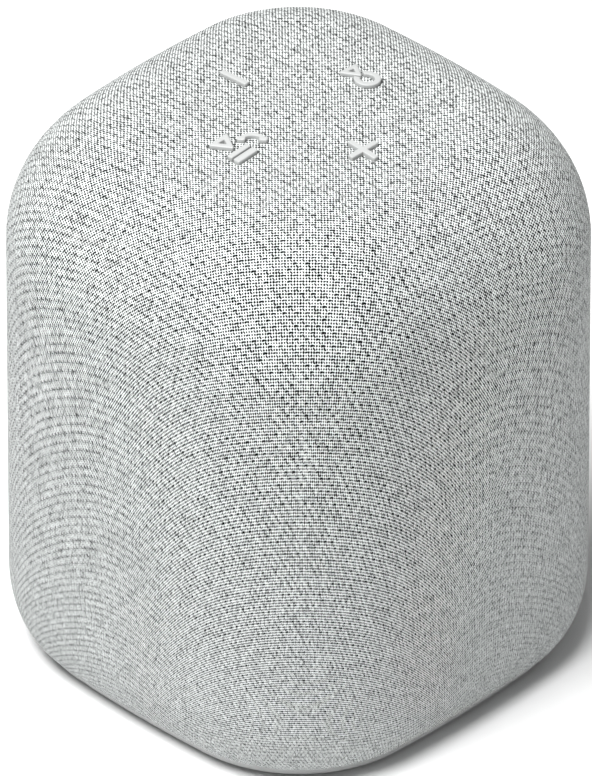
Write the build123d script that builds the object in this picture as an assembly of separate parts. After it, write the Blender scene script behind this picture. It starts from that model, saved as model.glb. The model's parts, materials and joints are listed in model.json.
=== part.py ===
from build123d import *
import os
from math import asin, cos, degrees, hypot, pi, radians, sin, sqrt

# A compact smart speaker, in millimetres. The origin is the centre of its foot's underside,
# +Z is up, -Y is the side that faces the listener and +X is that listener's right.

# Overall form: a rounded square column with a low domed top.
HALF = 70.0                    # half of the width and of the depth, at the widest height
TOP = 171.2                    # height of the dome's peak
CORNER = 41.7                  # the plan's corners start this far in from each side
BULGE = 0.94                   # how far the middle of each side stands out past its ends
SHOULDER_IN, SHOULDER_UP = 32.0, 38.3   # the elliptical shoulder between the sides and the dome
DOME_R = 374.0                 # radius of the domed top
SKIRT_IN, SKIRT_UP = 8.8, 20.5          # the ellipse that pulls the sides in towards the foot
SKIRT_START = radians(6.6)     # angle on that ellipse where the cloth ends
HEM_Z = 2.65                   # height of the cloth's lower edge
FOOT_REVEAL = 0.8              # the rubber foot lifts the base by this much

# Skins, as depths below the outer surface.
FABRIC = 0.8
CAP_SKIN = (0.9, 3.3)
GRILLE_SKIN = (0.9, 3.05)
SKIRT_SKIN = (3.15, 4.4)       # the cap's skirt, which fits inside the grille shell
CAP_Z = 150.0                  # height where the grille shell ends and the cap begins

# Base.
RING_HALF = 62.3               # half-width of the rim that shows under the cloth
RING_TOP = 2.3
SPIGOT_HALF = 60.5             # the part of the base that stands inside the cloth and shell
SLEEVE_BORE = 60.9             # half-width of the opening in the cloth and shell around it
BASE_FLOOR = 4.0
RIM_TOP = 7.2                  # the spigot's rim, whose hooks hold the shell's lip
HOOK_Z = 5.95
PILLAR = 30.0                  # the cabinet's pillars stand at +-this in X and in Y
PILLAR_SHIFT = -7.0            # and are centred on this Y, under the cabinet's middle

# Buttons.
KEY_ORBIT = 24.5               # distance of each symbol from the top's centre
KEY_GAP = 0.3
KEY_SUNK = 1.0                 # depth of a key's face below the outer surface
SYMBOL_RISE = 1.0              # a symbol stands this far out of the cloth
STROKE = 1.8
ARROW_HOLE = 0.3               # size of the hole in a triangle, as a share of the triangle
CUT_MARGIN = 0.3               # the cloth is cut this much wider than the symbols
BOSS_Z = 165.4                 # lower end of the tubes that guide the keys
FLANGE_Z = 164.1
FLANGE_T = 1.0
FLANGE_LIP = 1.7
SWITCH_TOP = 162.1
PLUNGER_TOP = 163.1
BOARD_TOP = 158.6
BOARD_T = 1.6
BOARD_SIDE = 76.0
POST = 32.0                    # the control board's screws stand at +-this in X and Y
MIC_ORBIT = 20.0

# Cabinet, the sealed box behind the drivers.
CAB_SIDE = 54.0
CAB_FRONT = -56.0
CAB_REAR = 40.0
CAB_LOW, CAB_HIGH = 33.0, 148.0
CAB_WALL = 3.0
CAB_ROUND = 20.0
GASKET_T = 0.8

# Drivers.
WOOFER_Z = 74.5
WOOFER_FLANGE = 39.0
TWEETER_Z = 130.5
TWEETER_FLANGE = 15.4
RADIATOR_Y, RADIATOR_Z = -8.0, 88.0
RADIATOR_FLANGE = 33.0

# Rear panel and mains inlet.
PANEL_W, PANEL_H = 36.0, 19.0
PANEL_Z = 20.5
INLET_PITCH = 8.6              # spacing of the inlet's two pins
INLET_PIN_R = 1.2
INLET_LOBE_R = 4.1             # each end of the inlet's figure-eight mouth
INLET_FLOOR = 57.0
INLET_MOUTH = 71.0

BOTTOM = (Align.CENTER, Align.CENTER, Align.MIN)


# ---------- shared shapes ----------

def outline(half, z):
    """The plan at one height: four shallow side arcs joined by four round corners."""
    k = half / HALF
    flat = HALF - CORNER
    side_r = (flat * flat + BULGE * BULGE) / (2 * BULGE)
    lean = asin(flat / side_r)
    corner_r = (HALF - BULGE - flat) / (cos(lean) - sin(lean))
    centre = HALF - BULGE - corner_r * cos(lean)
    tip = centre + corner_r * cos(pi / 4)
    edge = HALF - BULGE
    edges = []
    for quarter in range(4):
        turn = quarter * 90
        side = [Vector(edge * k, -flat * k, z), Vector(HALF * k, 0, z), Vector(edge * k, flat * k, z)]
        corner = [Vector(edge * k, flat * k, z), Vector(tip * k, tip * k, z), Vector(flat * k, edge * k, z)]
        for points in (side, corner):
            turned_points = [point.rotate(Axis.Z, turn) for point in points]
            edges.append(Edge.make_three_point_arc(*turned_points))
    return Wire(edges)


def shoulder_end():
    """Angle on the shoulder's ellipse where it meets the dome with no crease."""
    low, high = 0.001, pi / 2
    for _ in range(60):
        angle = (low + high) / 2
        reach = HALF - SHOULDER_IN + SHOULDER_IN * cos(angle)
        if SHOULDER_UP * cos(angle) / (SHOULDER_IN * sin(angle)) > reach / sqrt(DOME_R**2 - reach**2):
            low = angle
        else:
            high = angle
    return angle, reach


SHOULDER_END, DOME_REACH = shoulder_end()
SHOULDER_Z = TOP - DOME_R + sqrt(DOME_R**2 - DOME_REACH**2) - SHOULDER_UP * sin(SHOULDER_END)
SKIRT_TOP = HEM_Z + SKIRT_UP * cos(SKIRT_START)


def profile(depth):
    """Half-widths and heights of the body's side, from hem to peak, a depth below its surface."""
    stations = []
    for step in range(6):
        angle = SKIRT_START + (pi / 2 - SKIRT_START) * step / 5
        norm = hypot(SKIRT_UP * sin(angle), SKIRT_IN * cos(angle))
        half = HALF - SKIRT_IN * (1 - sin(angle)) - depth * SKIRT_UP * sin(angle) / norm
        z = HEM_Z + SKIRT_UP * (cos(SKIRT_START) - cos(angle)) + depth * SKIRT_IN * cos(angle) / norm
        stations.append((half, z))
    for share in (0.07, 0.3, 0.5, 0.7, 0.93):
        stations.append((HALF - depth, SKIRT_TOP + (SHOULDER_Z - SKIRT_TOP) * share))
    for step in range(8):
        angle = SHOULDER_END * step / 7
        norm = hypot(SHOULDER_UP * cos(angle), SHOULDER_IN * sin(angle))
        half = HALF - SHOULDER_IN * (1 - cos(angle)) - depth * SHOULDER_UP * cos(angle) / norm
        z = SHOULDER_Z + SHOULDER_UP * sin(angle) - depth * SHOULDER_IN * sin(angle) / norm
        stations.append((half, z))
    for step in range(1, 5):
        reach = DOME_REACH * (1 - step / 4.3)
        drop = sqrt(DOME_R**2 - reach**2)
        stations.append((reach - depth * reach / DOME_R, TOP - DOME_R + drop - depth * drop / DOME_R))
    return stations


def envelope(depth):
    """The whole body as one solid, a depth below its outer surface."""
    return Solid.make_loft([outline(half, z) for half, z in profile(depth)])


def skin(outer, inner, low, high):
    """The shell between two depths, from one height to another."""
    slab = Pos(0, 0, low) * Box(4 * HALF, 4 * HALF, high - low, align=BOTTOM)
    return (envelope(outer) - envelope(inner)) & slab


def prism(half, low, high):
    """An upright column with the body's plan at the given half-width."""
    return Solid.extrude(Face(outline(half, low)), Vector(0, 0, high - low))


def disc(radius, low, high, x=0.0, y=0.0):
    return Pos(x, y, low) * Cylinder(radius, high - low, align=BOTTOM)


def tube(outer, inner, low, high, x=0.0, y=0.0):
    return disc(outer, low, high, x, y) - disc(inner, low - 1, high + 1, x, y)


def block(width, depth, low, high, x=0.0, y=0.0):
    return Pos(x, y, low) * Box(width, depth, high - low, align=BOTTOM)


def turned(*points):
    """A solid of revolution about Z from an outline of (radius, z) points."""
    return revolve(make_face(Plane.XZ * Polyline(*points, close=True)), Axis.Z)


def half_roll(inner, outer, low, thickness):
    """A half-round rubber roll between two radii, with a glue lip on each side."""
    middle, rise = (inner + outer) / 2, (outer - inner) / 2
    over = ThreePointArc((inner, low), (middle, low + rise), (outer, low))
    under = ThreePointArc((outer - thickness, low), (middle, low + rise - thickness), (inner + thickness, low))
    ends = [Line(over @ 1, under @ 0), Line(under @ 1, over @ 0)]
    roll = revolve(make_face(Plane.XZ * Curve([over, under, *ends])), Axis.Z)
    outer_lip = tube(outer + 1.6, outer - thickness, low - thickness, low)
    inner_lip = tube(inner + thickness, inner - 1.6, low - thickness, low)
    return roll + outer_lip + inner_lip


def ring_positions(radius, count, start=45):
    return [Vector(radius, 0).rotate(Axis.Z, start + 360 * i / count) for i in range(count)]


def pan_screws(radius, count, seat, tip, shank=1.25, head=2.6, head_t=1.8, start=45):
    """Screws on a circle about Z, with their heads on the seat's height and their tips below it."""
    screws = []
    for spot in ring_positions(radius, count, start):
        drive = disc(1.0, seat + head_t - 1.0, seat + head_t + 1, spot.X, spot.Y)
        head_body = disc(head, seat, seat + head_t, spot.X, spot.Y) - drive
        screws.append(head_body + disc(shank, tip, seat, spot.X, spot.Y))
    return screws


def screw_holes(radius, count, low, high, hole=1.35, start=45):
    return [disc(hole, low, high, spot.X, spot.Y) for spot in ring_positions(radius, count, start)]


def facing(x, y, z, direction):
    """A place on a wall, whose local +Z looks along the direction and local +Y is up."""
    across = Vector(0, 0, 1).cross(Vector(*direction))
    return Plane(origin=(x, y, z), x_dir=across, z_dir=direction).location


# ---------- symbols and buttons ----------

def bar(width, height, grow, x=0.0, y=0.0):
    return Pos(x, y) * RectangleRounded(width + 2 * grow, height + 2 * grow, 0.4 + grow)


def triangle(back, tip, half_height, corner):
    """A triangle that points along +X, with rounded corners."""
    shape = make_face(Polyline((back, -half_height), (tip, 0), (back, half_height), close=True))
    return fillet(shape.vertices(), corner)


def arrow(back, tip, half_height, grow):
    """A triangle of thick strokes, which leave a small hole in its middle. Grown, it has no hole."""
    solid = triangle(back, tip, half_height, 0.45)
    if grow:
        return offset(solid, grow)
    slant = hypot(tip - back, half_height)
    centre = back + (tip - back) * half_height / (half_height + slant)
    hole_back = centre + (back - centre) * ARROW_HOLE
    hole_tip = centre + (tip - centre) * ARROW_HOLE
    return solid - triangle(hole_back, hole_tip, half_height * ARROW_HOLE, 0.12)


def arc_stroke(radius, from_deg, sweep_deg, width, x, y):
    """A stroke of even width along an arc, with square ends."""
    inner = CenterArc((x, y), radius - width / 2, from_deg, sweep_deg)
    outer = CenterArc((x, y), radius + width / 2, from_deg, sweep_deg)
    ends = [Line(inner @ 0, outer @ 0), Line(inner @ 1, outer @ 1)]
    return make_face(Curve([inner, outer, *ends]))


def minus_symbol(grow=0.0):
    return bar(9.9, STROKE, grow)


def plus_symbol(grow=0.0):
    return bar(10.2, STROKE, grow) + bar(STROKE, 10.2, grow)


def preset_symbol(grow=0.0):
    """A triangle whose tip enters the gap of an open ring."""
    widen = degrees(grow / 2.88)
    ring = arc_stroke(2.88, -149 - widen, 307 + 2 * widen, STROKE + 2 * grow, 1.7, 0.5)
    return Pos(0, 0.2) * arrow(-5.65, 0, 3.6, grow) + ring


def play_symbol(grow=0.0):
    """A triangle, two bars and a telephone handset's arc above them."""
    pause = bar(1.8, 7.4, grow, 1.15, 0.3) + bar(2.2, 7.4, grow, 3.75, 0.3)
    if grow:
        pause = bar(4.6, 7.4, grow, 2.55, 0.3)
    handset = arc_stroke(3.54, 70, 121, 1.35 + 2 * grow, 0.98, 5.47)
    for x, y in ((-2.4, 4.75), (2.25, 8.7)):
        pad = RectangleRounded(2.4 + 2 * grow, 1.8 + 2 * grow, 0.6 + grow)
        handset += Pos(x, y) * Rot(0, 0, 40) * pad
    return Pos(0, 0.2) * arrow(-6.9, -0.4, 3.75, grow) + pause + handset


# Each button: its symbol, the symbol's place, and its key's centre and radius.
BUTTONS = {
    "minus": (minus_symbol, (-KEY_ORBIT, 0), (-KEY_ORBIT, 0), 7.8),
    "plus": (plus_symbol, (KEY_ORBIT, 0), (KEY_ORBIT, 0), 7.8),
    "play": (play_symbol, (0, -KEY_ORBIT), (-0.8, 2.2 - KEY_ORBIT), 9.7),
    "preset": (preset_symbol, (0, KEY_ORBIT), (0, KEY_ORBIT), 7.8),
}


def symbol_column(symbol, place, grow=0.0):
    """A symbol's outline as an upright column through the top."""
    return Pos(*place, BOSS_Z + 2.5) * extrude(symbol(grow), 10)


def button(name):
    symbol, place, centre, radius = BUTTONS[name]
    key = disc(radius, FLANGE_Z + FLANGE_T, TOP + 5, *centre) & envelope(KEY_SUNK)
    raised = symbol_column(symbol, place) & envelope(-SYMBOL_RISE)
    flange = disc(radius + FLANGE_LIP, FLANGE_Z, FLANGE_Z + FLANGE_T, *centre)
    stem = disc(2.4, PLUNGER_TOP, FLANGE_Z, *centre)
    return key + raised + flange + stem


def switch_plunger(name):
    centre = BUTTONS[name][2]
    return disc(1.7, SWITCH_TOP - 0.8, PLUNGER_TOP, *centre)


def button_switches():
    bodies = []
    for _, _, centre, _ in BUTTONS.values():
        case = block(6.2, 6.2, BOARD_TOP, SWITCH_TOP, *centre)
        bodies.append(case - disc(2.0, SWITCH_TOP - 1.6, SWITCH_TOP + 1, *centre))
    return bodies


# ---------- outer sleeve ----------

def panel_opening(margin):
    """The rear panel's rounded outline, as a bar through the back wall."""
    outline_face = RectangleRounded(PANEL_W + 2 * margin, PANEL_H + 2 * margin, 4 + margin)
    return facing(0, 50, PANEL_Z, (0, 1, 0)) * extrude(outline_face, 30)


def fabric_cover():
    cloth = envelope(0) - envelope(FABRIC) - prism(SLEEVE_BORE, 0, HEM_Z + 2) - panel_opening(0.2)
    for symbol, place, _, _ in BUTTONS.values():
        cloth -= symbol_column(symbol, place, CUT_MARGIN)
    return cloth


def grille_shell():
    shell = skin(*GRILLE_SKIN, 0, CAP_Z) - prism(SLEEVE_BORE, 0, HEM_Z + 4) - panel_opening(0.2)
    rows, row_z, row_pitch = 5, 38.0, 22.0
    columns, column_pitch = 9, 8.0
    slots = []
    for row in range(rows):
        for column in range(columns):
            across = (column - (columns - 1) / 2) * column_pitch
            slot = extrude(SlotOverall(17, 3.0, rotation=90), 30)
            for quarter in range(4):
                spot = Rot(0, 0, 90 * quarter) * facing(across, -HALF + 10, row_z + row * row_pitch, (0, -1, 0))
                slots.append(spot * slot)
    return shell - slots


def top_cap():
    cap = skin(*CAP_SKIN, CAP_Z + 0.05, TOP + 5)
    cap += skin(*SKIRT_SKIN, CAP_Z - 5, CAP_Z + 3)
    cap += skin(CAP_SKIN[0] + 1, SKIRT_SKIN[1], CAP_Z + 0.05, CAP_Z + 3)
    under = envelope(CAP_SKIN[0] + 0.5)
    for _, _, centre, radius in BUTTONS.values():
        cap += disc(radius + KEY_GAP + 2, BOSS_Z, TOP + 5, *centre) & under
    for x in (-POST, POST):
        for y in (-POST, POST):
            cap += disc(3.5, BOARD_TOP, TOP + 5, x, y) & under
    for _, _, centre, radius in BUTTONS.values():
        cap -= disc(radius + KEY_GAP, 150, TOP + 5, *centre)
    for x in (-POST, POST):
        for y in (-POST, POST):
            cap -= disc(1.3, 150, BOARD_TOP + 6, x, y)
    for x in (-MIC_ORBIT, MIC_ORBIT):
        for y in (-MIC_ORBIT, MIC_ORBIT):
            cap -= disc(0.6, 150, TOP + 5, x, y)
    return cap


# ---------- base ----------

def pillar_spots():
    return [(x, y + PILLAR_SHIFT) for x in (-PILLAR, PILLAR) for y in (-PILLAR, PILLAR)]


POWER_POSTS = [(x, y) for x in (-36.0, 36.0) for y in (-12.0, 44.0)]
POWER_BOARD_Z = 11.0


def base_plate():
    plate = prism(RING_HALF, FOOT_REVEAL, RING_TOP) + prism(SPIGOT_HALF, RING_TOP, RIM_TOP)
    plate -= prism(SPIGOT_HALF - 2.2, BASE_FLOOR, RIM_TOP + 1)
    plate -= prism(57, 0, FOOT_REVEAL + 0.9) - prism(50, 0, FOOT_REVEAL + 0.9)
    for quarter in range(4):
        hook = block(12, 2.2, HOOK_Z, RIM_TOP, 0, SPIGOT_HALF - 0.35)
        plate += Rot(0, 0, 90 * quarter) * hook
    for x, y in pillar_spots():
        plate += disc(5.2, BASE_FLOOR - 1, CAB_LOW, x, y)
        plate -= disc(3.4, 0, CAB_LOW - 7, x, y)
        plate -= disc(1.7, 0, CAB_LOW + 1, x, y)
    for x, y in POWER_POSTS:
        plate += disc(3.2, BASE_FLOOR - 1, POWER_BOARD_Z, x, y)
        plate -= disc(1.25, BASE_FLOOR + 1, POWER_BOARD_Z + 1, x, y)
    return plate


def foot_ring():
    return prism(56.8, 0, FOOT_REVEAL + 0.85) - prism(50.2, -1, FOOT_REVEAL + 2)


def base_screws():
    screws = []
    for x, y in pillar_spots():
        head = disc(3.0, CAB_LOW - 9.2, CAB_LOW - 7, x, y) - disc(1.2, CAB_LOW - 10, CAB_LOW - 8, x, y)
        screws.append(head + disc(1.5, CAB_LOW - 7, CAB_LOW + 9, x, y))
    return screws


# ---------- rear panel and mains inlet ----------

def inlet_mouth(margin=0.0):
    """The figure-eight socket's outline."""
    lobes = Pos(-INLET_PITCH / 2, 0) * Circle(INLET_LOBE_R + margin)
    lobes += Pos(INLET_PITCH / 2, 0) * Circle(INLET_LOBE_R + margin)
    return lobes + Rectangle(INLET_PITCH, 2 * (INLET_LOBE_R + margin) - 1)


def rear_bar(face, start, end):
    """A bar along +Y behind the body, with its outline centred on the rear panel."""
    return facing(0, start, PANEL_Z, (0, 1, 0)) * extrude(face, end - start)


def rear_panel():
    plate = panel_opening(0) & envelope(0.15)
    plate -= rear_bar(RectangleRounded(PANEL_W - 4, PANEL_H - 4, 3), 50, 64.5)
    plate -= rear_bar(RectangleRounded(22.4, 13.4, 3.2), 50, INLET_MOUTH + 5)
    return plate - rear_bar(Rectangle(4 * HALF, 4 * HALF), 40, 58)


def mains_inlet():
    shell = rear_bar(RectangleRounded(22, 13, 3), 54, INLET_MOUTH) & envelope(0.5)
    shell -= rear_bar(inlet_mouth(), INLET_FLOOR, INLET_MOUTH + 5)
    for x in (-INLET_PITCH / 2, INLET_PITCH / 2):
        shell -= Pos(x, 0, 0) * rear_bar(Circle(INLET_PIN_R), 40, INLET_FLOOR + 1)
    return shell


def inlet_pins():
    pins = []
    for x in (-INLET_PITCH / 2, INLET_PITCH / 2):
        pin = Pos(x, 0, 0) * rear_bar(Circle(INLET_PIN_R), 50, INLET_FLOOR + 9)
        pin += block(2.0, 1.2, POWER_BOARD_Z - 1.5, PANEL_Z, x, 50.4)
        pins.append(pin)
    return pins


# ---------- cabinet ----------

def cabinet_block(inset, low, high):
    """The cabinet's outline as a solid column, with rounded upright edges."""
    width = 2 * (CAB_SIDE - inset)
    depth = CAB_REAR - CAB_FRONT - 2 * inset
    base = Pos(0, (CAB_REAR + CAB_FRONT) / 2, low)
    return base * extrude(RectangleRounded(width, depth, CAB_ROUND - inset), high - low)


def back_outline(inset):
    """The cabinet's rear opening, seen from behind."""
    width = 2 * (CAB_SIDE - CAB_ROUND - inset)
    return RectangleRounded(width, CAB_HIGH - CAB_LOW - 16 - 2 * inset, 8)


CAB_MIDDLE = (CAB_LOW + CAB_HIGH) / 2
BACK_SCREWS = [(x, z) for x in (-30.5, 30.5) for z in (-45.5, 0.0, 45.5)]


def back_bar(face, start, end, x=0.0, z=0.0):
    return facing(-x, start, CAB_MIDDLE + z, (0, 1, 0)) * extrude(face, end - start)


def cabinet_shell():
    shell = cabinet_block(0, CAB_LOW, CAB_HIGH)
    shell -= cabinet_block(CAB_WALL, CAB_LOW + CAB_WALL, CAB_HIGH - CAB_WALL)
    for x, y in pillar_spots():
        shell += disc(4.5, CAB_LOW + 1, CAB_LOW + 12, x, y)
        shell -= disc(1.5, CAB_LOW - 1, CAB_LOW + 10, x, y)
    shell -= back_bar(back_outline(7), CAB_REAR - 10, CAB_REAR + 5)
    for x, z in BACK_SCREWS:
        shell -= back_bar(Circle(1.25), CAB_REAR - 10, CAB_REAR + 5, x, z)
    shell -= facing(0, CAB_FRONT, WOOFER_Z, (0, -1, 0)) * disc(34.2, -10, 5)
    shell -= facing(0, CAB_FRONT, TWEETER_Z, (0, -1, 0)) * disc(12.8, -10, 5)
    for side in (-1, 1):
        shell -= radiator_place(side) * disc(28.5, -10, 5)
        shell -= [radiator_place(side) * hole for hole in screw_holes(30.6, 4, -4, 1, 1.1)]
    shell -= [woofer_place() * hole for hole in screw_holes(36.4, 4, -4, 1)]
    shell -= [tweeter_place() * hole for hole in screw_holes(13.9, 2, -4, 1, 0.75, start=0)]
    return shell


def cabinet_gasket():
    seal = back_bar(back_outline(0), CAB_REAR, CAB_REAR + GASKET_T)
    seal -= back_bar(back_outline(7), CAB_REAR - 1, CAB_REAR + 2)
    for x, z in BACK_SCREWS:
        seal -= back_bar(Circle(1.5), CAB_REAR - 1, CAB_REAR + 2, x, z)
    return seal


def cabinet_back():
    seat = CAB_REAR + GASKET_T
    lid = back_bar(back_outline(0), seat, seat + 3)
    for z in (-30.0, 0.0, 30.0):
        lid += back_bar(Rectangle(50, 2), seat + 3, seat + 4.2, 0, z)
    for x, z in BACK_SCREWS:
        lid -= back_bar(Circle(1.5), seat - 1, seat + 6, x, z)
    for x, z in MAIN_POSTS:
        lid += back_bar(Circle(3), seat + 1, MAIN_BOARD_Y, x, z)
        lid -= back_bar(Circle(1.25), seat + 2.5, MAIN_BOARD_Y + 1, x, z)
    return lid


def cabinet_screws():
    seat = CAB_REAR + GASKET_T + 3
    screws = []
    for x, z in BACK_SCREWS:
        head = back_bar(Circle(2.6), seat, seat + 1.8, x, z) - back_bar(Circle(1), seat + 0.9, seat + 3, x, z)
        screws.append(head + back_bar(Circle(1.2), CAB_REAR - 2.9, seat, x, z))
    return screws


def acoustic_wadding():
    pad = block(76, 42, 46, 112, 0, 14)
    return fillet(pad.edges(), 6)


# ---------- woofer ----------
# Local frame: z = 0 is the cabinet's front face and +z looks out of it.

def woofer_place():
    return facing(0, CAB_FRONT, WOOFER_Z, (0, -1, 0))


def woofer_frame():
    flange = tube(WOOFER_FLANGE, 31.5, GASKET_T, 3.4)
    basket = turned((33.6, GASKET_T), (31.6, GASKET_T), (31.4, -4), (25.0, -14.2), (20.0, -20), (12.4, -20),
                    (12.4, -21.5), (21.4, -21.5), (27.0, -14.6), (33.6, -4))
    shelf = tube(27.2, 23.6, -12.6, -11.2)
    frame = flange + basket + shelf
    for spot in range(4):
        window = Rot(0, 0, 90 * spot) * block(16, 20, -18.4, -5.5, 0, 30)
        frame -= window
    return frame - screw_holes(36.4, 4, -1, 5, 1.6)


def woofer_gasket():
    return tube(WOOFER_FLANGE - 0.2, 34.3, 0, GASKET_T) - screw_holes(36.4, 4, -1, 2, 1.6)


def woofer_surround():
    return Pos(0, 0, 4.1) * half_roll(24.6, 31.6, 0, 0.7)


def woofer_cone():
    return turned((23.9, 3.3), (23.0, 3.3), (11.0, -7.6), (11.0, -8.4), (11.7, -8.4))


def woofer_dust_cap():
    return turned((0, -3.2), (5, -4.1), (9.4, -6.6), (9.0, -7.1), (4.8, -4.8), (0, -3.9)) + tube(10.6, 9.0, -7.4, -6.6)


def woofer_voice_coil():
    return tube(10.3, 10.0, -28, -7.5) + tube(10.9, 10.3, -28, -19.5) + tube(11.0, 10.3, -8.4, -7.6)


def woofer_spider():
    waves = tube(25.6, 10.4, -11.2, -10.7)
    for radius in (13.0, 16.6, 20.2):
        waves += tube(radius + 0.9, radius - 0.9, -10.7, -10.0) - tube(radius + 0.4, radius - 0.4, -11, -10.5)
    return waves


def woofer_top_plate():
    return tube(21, 11.5, -25.5, -21.5)


def woofer_magnet():
    return tube(22, 13.2, -37, -25.5)


def woofer_yoke():
    return disc(21, -41, -37) + disc(9.5, -37, -21.5)


def woofer_screws():
    return pan_screws(36.4, 4, 3.4, -2.9)


# ---------- tweeter ----------

def tweeter_place():
    return facing(0, CAB_FRONT, TWEETER_Z, (0, -1, 0))


def tweeter_housing():
    plate = disc(TWEETER_FLANGE, 0, 2.4) + disc(12.5, -11, 0)
    plate -= disc(9.8, 1.0, 5)
    plate -= disc(8.2, -8.5, 5)
    return plate - screw_holes(13.9, 2, -1, 5, 1.0, start=0)


def tweeter_surround():
    return tube(9.6, 7.6, 1.0, 1.5)


def tweeter_dome():
    shell = turned((0, 3.9), (3.4, 3.4), (5.9, 2.2), (7.2, 1.0), (6.7, 1.0), (5.6, 1.9), (3.2, 3.0), (0, 3.5))
    return shell + tube(7.5, 6.9, -4.5, 1.5)


def tweeter_magnet():
    return disc(6.3, -8.5, -1.2)


def tweeter_screws():
    return pan_screws(13.9, 2, 2.4, -2.8, 0.7, 1.4, 1.0, start=0)


# ---------- passive radiators ----------

def radiator_place(side):
    return facing(side * CAB_SIDE, RADIATOR_Y, RADIATOR_Z, (side, 0, 0))


def radiator_frame():
    return tube(RADIATOR_FLANGE, 27.6, 0, 2.4) - screw_holes(30.6, 4, -1, 5, 1.3)


def radiator_surround():
    return Pos(0, 0, 1.3) * (half_roll(21.2, 26.0, 0, 0.7) - tube(40, 27.55, -2, 1))


def radiator_plate():
    plate = disc(19.5, 0.2, 2.6)
    for radius in (6.0, 13.0):
        plate += tube(radius + 1.2, radius, 2.6, 3.4)
    return plate


def radiator_screws():
    screws = []
    for side in (-1, 1):
        screws += [radiator_place(side) * screw for screw in pan_screws(30.6, 4, 2.4, -2.9, 1.05, 2.2, 1.4)]
    return screws


# ---------- electronics ----------

MAIN_BOARD_Y = 49.0
MAIN_POSTS = [(x, z) for x in (-23.0, 23.0) for z in (-35.0, 22.0)]


def control_board():
    board = extrude(Pos(0, 0, BOARD_TOP - BOARD_T) * RectangleRounded(BOARD_SIDE, BOARD_SIDE, 8), BOARD_T)
    for x in (-POST, POST):
        for y in (-POST, POST):
            board -= disc(1.5, BOARD_TOP - 5, BOARD_TOP + 5, x, y)
    return board


def control_board_screws():
    low = BOARD_TOP - BOARD_T
    screws = []
    for x in (-POST, POST):
        for y in (-POST, POST):
            head = disc(2.6, low - 1.6, low, x, y) - disc(1.0, low - 3, low - 0.8, x, y)
            screws.append(head + disc(1.2, low, BOARD_TOP + 5, x, y))
    return screws


def microphones():
    spots = [(x, y) for x in (-MIC_ORBIT, MIC_ORBIT) for y in (-MIC_ORBIT, MIC_ORBIT)]
    return [block(3.8, 3.0, BOARD_TOP, BOARD_TOP + 1.1, x, y) for x, y in spots]


def microphone_boots():
    boots = []
    for x in (-MIC_ORBIT, MIC_ORBIT):
        for y in (-MIC_ORBIT, MIC_ORBIT):
            boots.append(tube(2.4, 0.7, BOARD_TOP + 1.15, TOP, x, y) & envelope(CAP_SKIN[1] + 0.05))
    return boots


def control_ribbon():
    """The flat cable from the control board's rear edge, down behind the cabinet to the main board."""
    high = BOARD_TOP - BOARD_T
    path = FilletPolyline((20, high - 0.2), (20, high - 3), (MAIN_BOARD_Y + 4, high - 3),
                          (MAIN_BOARD_Y + 4, 128), (MAIN_BOARD_Y + BOARD_T + 0.2, 128), radius=1.0)
    strip = make_face(offset(path, 0.15, side=Side.BOTH))
    return Pos(6, 0, 0) * extrude(Plane.YZ * strip, -12)


def power_board():
    board = extrude(Pos(0, 6, POWER_BOARD_Z) * RectangleRounded(84, 92, 4), BOARD_T)
    for x, y in POWER_POSTS:
        board -= disc(1.5, POWER_BOARD_Z - 1, POWER_BOARD_Z + 5, x, y)
    for x in (-INLET_PITCH / 2, INLET_PITCH / 2):
        board -= block(2.4, 1.6, POWER_BOARD_Z - 1, POWER_BOARD_Z + 5, x, 50.4)
    for x, y in pillar_spots():
        board -= disc(6.0, POWER_BOARD_Z - 1, POWER_BOARD_Z + 5, x, y)
    return board


def transformer():
    low = POWER_BOARD_Z + BOARD_T
    core = block(24, 20, low, low + 16, -8, 14)
    core -= block(18, 30, low + 3, low + 13, -8, 14)
    winding = block(17.6, 27, low + 3.2, low + 12.8, -8, 14)
    return [core, fillet(winding.edges(), 2.5)]


def power_capacitors():
    low = POWER_BOARD_Z + BOARD_T
    cans = []
    for x, y in ((16, 8), (16, -8), (-2, -18)):
        can = disc(6.2, low + 0.5, low + 18, x, y)
        groove = tube(7, 5.8, low + 2.6, low + 3.4, x, y)
        cans.append(chamfer((can - groove).edges().group_by(Axis.Z)[-1], 0.6))
    return cans


def main_board():
    board = back_bar(RectangleRounded(70, 88, 3), MAIN_BOARD_Y, MAIN_BOARD_Y + BOARD_T, 0, -3)
    for x, z in MAIN_POSTS:
        board -= back_bar(Circle(1.5), MAIN_BOARD_Y - 2, MAIN_BOARD_Y + 5, x, z)
    return board


def heatsink():
    low = MAIN_BOARD_Y + BOARD_T
    sink = back_bar(RectangleRounded(40, 26, 1.5), low + 1.0, low + 3.0, 0, -28)
    for fin in range(9):
        sink += back_bar(Rectangle(1.2, 26), low + 2.5, low + 10.0, (fin - 4) * 4.7, -28)
    return sink + back_bar(Rectangle(10, 10), low, low + 1.5, 0, -28)


def wireless_module():
    low = MAIN_BOARD_Y + BOARD_T
    carrier = back_bar(Rectangle(20, 26), low, low + 0.8, -10, 6)
    shield = back_bar(RectangleRounded(16, 18, 1), low + 0.8, low + 3, -10, 5)
    return [carrier, shield]


def antennas():
    above = CAB_HIGH - 4 - CAB_MIDDLE
    return [back_bar(Rectangle(26, 6), CAB_REAR, CAB_REAR + 0.8, x, above) for x in (-20.0, 20.0)]


def board_screws():
    screws = []
    top = POWER_BOARD_Z + BOARD_T
    for x, y in POWER_POSTS:
        head = disc(2.6, top, top + 1.6, x, y) - disc(1, top + 0.8, top + 3, x, y)
        screws.append(head + disc(1.2, BASE_FLOOR + 1.5, top, x, y))
    seat = MAIN_BOARD_Y + BOARD_T
    for x, z in MAIN_POSTS:
        head = back_bar(Circle(2.6), seat, seat + 1.6, x, z) - back_bar(Circle(1), seat + 0.8, seat + 3, x, z)
        screws.append(head + back_bar(Circle(1.2), MAIN_BOARD_Y - 5, seat, x, z))
    return screws


# ---------- the assembly ----------

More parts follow.
